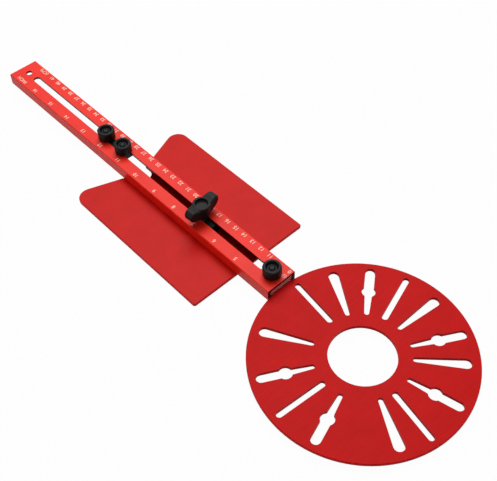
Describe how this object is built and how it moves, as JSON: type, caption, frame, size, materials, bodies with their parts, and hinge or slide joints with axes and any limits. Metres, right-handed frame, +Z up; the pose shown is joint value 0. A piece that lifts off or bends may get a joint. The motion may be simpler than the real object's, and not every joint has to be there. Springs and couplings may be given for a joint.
{
  "type": "router circle cutting jig",
  "caption": "Round slotted router base on a graduated arm, with a sliding pivot pin and a sliding fence plate, each locked by plastic knobs.",
  "frame": {"origin": "under the middle of the jig, on the surface that the fence plate rests on", "axes": "+X along the arm towards the round base, +Y across the arm, +Z up, away from the work"},
  "size_m": [0.5292, 0.172, 0.0307],
  "materials": {
    "disc_red": "satin red anodising, with a bright chamfered rim",
    "arm_red": "satin red anodising, with pale engraved numbers",
    "fence_red": "satin red anodising",
    "black_plastic": "moulded black nylon, finely grained",
    "bare_aluminium": "bare, sawn and brushed",
    "plated_steel": "zinc plated",
    "brass": "turned"
  },
  "bodies": {
    "jig_frame": {"base_disc": "disc_red", "tongue_spacer": "bare_aluminium", "spacer_screw_left": "plated_steel", "spacer_screw_right": "plated_steel", "tongue_nut": "brass", "arm_channel": "arm_red"},
    "clamp_washer": {"clamp_washer": "plated_steel"},
    "clamp_knob": {"clamp_knob": "black_plastic", "clamp_stud": "plated_steel"},
    "slider": {"slide_block": "black_plastic", "block_insert_near": "brass", "block_insert_far": "brass", "pivot_pin": "plated_steel"},
    "near_washer": {"near_washer": "plated_steel"},
    "near_knob": {"near_knob": "black_plastic", "near_stud": "plated_steel"},
    "far_washer": {"far_washer": "plated_steel"},
    "far_knob": {"far_knob": "black_plastic", "far_stud": "plated_steel"},
    "fence": {"fence_plate": "fence_red", "fence_guide_block": "black_plastic", "guide_screw_near": "plated_steel", "guide_screw_far": "plated_steel", "fence_bolt": "plated_steel"},
    "fence_washer": {"fence_washer": "plated_steel"},
    "wing_knob": {"wing_knob": "black_plastic", "wing_insert": "brass"}
  },
  "joints": [
    {"name": "slider_travel", "type": "slide", "parent": "jig_frame", "child": "slider", "axis": [1, 0, 0], "range_m": [-0.106, 0.02]},
    {"name": "fence_travel", "type": "slide", "parent": "jig_frame", "child": "fence", "axis": [1, 0, 0], "range_m": [-0.02, 0.056]},
    {"name": "clamp_lift", "type": "slide", "parent": "jig_frame", "child": "clamp_washer", "axis": [0, 0, 1], "range_m": [0, 0.0021]},
    {"name": "clamp_turn", "type": "hinge", "parent": "clamp_washer", "child": "clamp_knob", "pos_m": [0.0826, 0, 0.0156], "axis": [0, 0, 1], "range_deg": [0, 1081]},
    {"name": "near_lift", "type": "slide", "parent": "slider", "child": "near_washer", "axis": [0, 0, 1], "range_m": [0, 0.0021]},
    {"name": "near_turn", "type": "hinge", "parent": "near_washer", "child": "near_knob", "pos_m": [-0.106, 0, 0.0156], "axis": [0, 0, 1], "range_deg": [0, 1081]},
    {"name": "far_lift", "type": "slide", "parent": "slider", "child": "far_washer", "axis": [0, 0, 1], "range_m": [0, 0.0021]},
    {"name": "far_turn", "type": "hinge", "parent": "far_washer", "child": "far_knob", "pos_m": [-0.13, 0, 0.0156], "axis": [0, 0, 1], "range_deg": [0, 1081]},
    {"name": "wing_lift", "type": "slide", "parent": "fence", "child": "fence_washer", "axis": [0, 0, 1], "range_m": [0, 0.003]},
    {"name": "wing_turn", "type": "hinge", "parent": "fence_washer", "child": "wing_knob", "pos_m": [0.0001, 0, 0.0156], "axis": [0, 0, 1], "range_deg": [0, 1081]}
  ],
  "couplings": [
    {"joint": "clamp_turn", "follows": "clamp_lift", "rad_per_m": 8976},
    {"joint": "near_turn", "follows": "near_lift", "rad_per_m": 8976},
    {"joint": "far_turn", "follows": "far_lift", "rad_per_m": 8976},
    {"joint": "wing_turn", "follows": "wing_lift", "rad_per_m": 6283.2}
  ]
}
